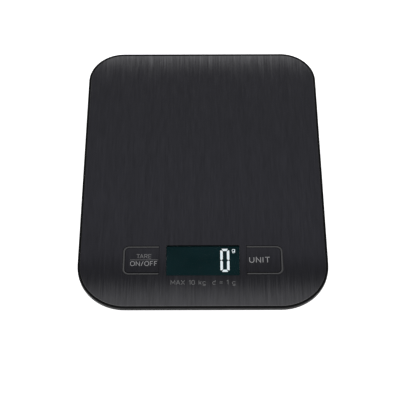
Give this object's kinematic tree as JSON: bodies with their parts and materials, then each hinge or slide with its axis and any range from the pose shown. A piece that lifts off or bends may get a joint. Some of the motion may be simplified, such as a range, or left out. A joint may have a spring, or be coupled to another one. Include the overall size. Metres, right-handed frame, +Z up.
{
  "type": "kitchen scale",
  "caption": "Slim black kitchen scale with a brushed steel plate, a display between two keys, and load-cell feet.",
  "frame": {"origin": "centre of the footprint, on the surface under the foot pads", "axes": "+X to the user's right, +Y from the keys and display toward the back, +Z up out of the plate"},
  "size_m": [0.18, 0.23, 0.018],
  "materials": {
    "brushed_plate": "brushed",
    "adhesive_film": "matte",
    "black_abs": "satin",
    "white_abs": "satin",
    "grey_silicone": "matte",
    "window_lens": "gloss",
    "lcd_glass": "gloss",
    "light_guide": "gloss",
    "pink_rubber": "matte",
    "green_board": "satin",
    "black_epoxy": "satin",
    "component_ceramic": "satin",
    "zinc_screws": "satin",
    "gauge_foil": "satin",
    "sensor_steel": "satin",
    "foot_rubber": "matte",
    "battery_jacket": "gloss",
    "nickel_contacts": "satin",
    "wire_insulation": "satin"
  },
  "bodies": {
    "housing": {"platform_plate": "brushed_plate", "plate_adhesive": "adhesive_film", "top_housing": "black_abs", "base_shell": "black_abs", "power_key_seal": "grey_silicone", "unit_key_seal": "grey_silicone", "display_window": "window_lens", "lcd_panel": "lcd_glass", "lcd_backlight": "light_guide", "zebra_strip": "pink_rubber", "lcd_frame": "white_abs", "main_board": "green_board", "controller_chip": "black_epoxy", "board_components": "component_ceramic", "power_switch_body": "black_epoxy", "unit_switch_body": "black_epoxy", "board_screws": "zinc_screws", "case_screws": "zinc_screws", "strain_gauges": "gauge_foil", "battery_front": "battery_jacket", "battery_back": "battery_jacket", "contact_bridge": "nickel_contacts", "contact_positive": "nickel_contacts", "contact_negative": "nickel_contacts", "contact_springs": "nickel_contacts", "battery_wires": "wire_insulation", "load_cell_front_left": "sensor_steel", "cell_retainer_front_left": "white_abs", "sensor_wires_front_left": "wire_insulation", "load_cell_front_right": "sensor_steel", "cell_retainer_front_right": "white_abs", "sensor_wires_front_right": "wire_insulation", "load_cell_back_left": "sensor_steel", "cell_retainer_back_left": "white_abs", "sensor_wires_back_left": "wire_insulation", "load_cell_back_right": "sensor_steel", "cell_retainer_back_right": "white_abs", "sensor_wires_back_right": "wire_insulation"},
    "power_key": {"power_key": "brushed_plate"},
    "unit_key": {"unit_key": "brushed_plate"},
    "power_plunger": {"power_plunger": "white_abs"},
    "unit_plunger": {"unit_plunger": "white_abs"},
    "power_switch_stem": {"power_switch_stem": "white_abs"},
    "unit_switch_stem": {"unit_switch_stem": "white_abs"},
    "battery_door": {"battery_door": "black_abs"},
    "door_latch": {"door_latch": "black_abs"},
    "foot_front_left": {"foot_front_left": "black_abs", "foot_pad_front_left": "foot_rubber", "foot_screw_front_left": "zinc_screws"},
    "foot_front_right": {"foot_front_right": "black_abs", "foot_pad_front_right": "foot_rubber", "foot_screw_front_right": "zinc_screws"},
    "foot_back_left": {"foot_back_left": "black_abs", "foot_pad_back_left": "foot_rubber", "foot_screw_back_left": "zinc_screws"},
    "foot_back_right": {"foot_back_right": "black_abs", "foot_pad_back_right": "foot_rubber", "foot_screw_back_right": "zinc_screws"}
  },
  "joints": [
    {"name": "power_key_press", "type": "hinge", "parent": "housing", "child": "power_key", "pos_m": [-0.0315, -0.07635, 0.0177], "axis": [0, -1, 0], "range_deg": [0, 1.2], "stiffness_Nm_per_rad": 3},
    {"name": "power_plunger_travel", "type": "slide", "parent": "housing", "child": "power_plunger", "axis": [0, 0, -1], "range_m": [0, 0.00032463]},
    {"name": "power_switch_stem_travel", "type": "slide", "parent": "housing", "child": "power_switch_stem", "axis": [0, 0, -1], "range_m": [0, 0.00032463]},
    {"name": "unit_key_press", "type": "hinge", "parent": "housing", "child": "unit_key", "pos_m": [0.0315, -0.07635, 0.0177], "axis": [0, 1, 0], "range_deg": [0, 1.2], "stiffness_Nm_per_rad": 3},
    {"name": "unit_plunger_travel", "type": "slide", "parent": "housing", "child": "unit_plunger", "axis": [0, 0, -1], "range_m": [0, 0.00032463]},
    {"name": "unit_switch_stem_travel", "type": "slide", "parent": "housing", "child": "unit_switch_stem", "axis": [0, 0, -1], "range_m": [0, 0.00032463]},
    {"name": "foot_front_left_travel", "type": "slide", "parent": "housing", "child": "foot_front_left", "axis": [0, 0, 1], "range_m": [0, 0.0004], "stiffness_N_per_m": 200, "springref_m": -0.006, "deforming": ["load_cell_front_left"]},
    {"name": "foot_front_right_travel", "type": "slide", "parent": "housing", "child": "foot_front_right", "axis": [0, 0, 1], "range_m": [0, 0.0004], "stiffness_N_per_m": 200, "springref_m": -0.006, "deforming": ["load_cell_front_right"]},
    {"name": "foot_back_left_travel", "type": "slide", "parent": "housing", "child": "foot_back_left", "axis": [0, 0, 1], "range_m": [0, 0.0004], "stiffness_N_per_m": 200, "springref_m": -0.006, "deforming": ["load_cell_back_left"]},
    {"name": "foot_back_right_travel", "type": "slide", "parent": "housing", "child": "foot_back_right", "axis": [0, 0, 1], "range_m": [0, 0.0004], "stiffness_N_per_m": 200, "springref_m": -0.006, "deforming": ["load_cell_back_right"]},
    {"name": "battery_door_swing", "type": "hinge", "parent": "housing", "child": "battery_door", "pos_m": [-0.0321, 0.018, 0.003], "axis": [0, 1, 0], "range_deg": [0, 75]},
    {"name": "door_latch_squeeze", "type": "hinge", "parent": "battery_door", "child": "door_latch", "pos_m": [0.02995, 0.018, 0.009], "axis": [0, 1, 0], "range_deg": [0, 11], "stiffness_Nm_per_rad": 0.07}
  ],
  "couplings": [
    {"joint": "power_plunger_travel", "follows": "power_key_press", "m_per_rad": 0.0155},
    {"joint": "power_switch_stem_travel", "follows": "power_key_press", "m_per_rad": 0.0155},
    {"joint": "unit_plunger_travel", "follows": "unit_key_press", "m_per_rad": 0.0155},
    {"joint": "unit_switch_stem_travel", "follows": "unit_key_press", "m_per_rad": 0.0155}
  ]
}
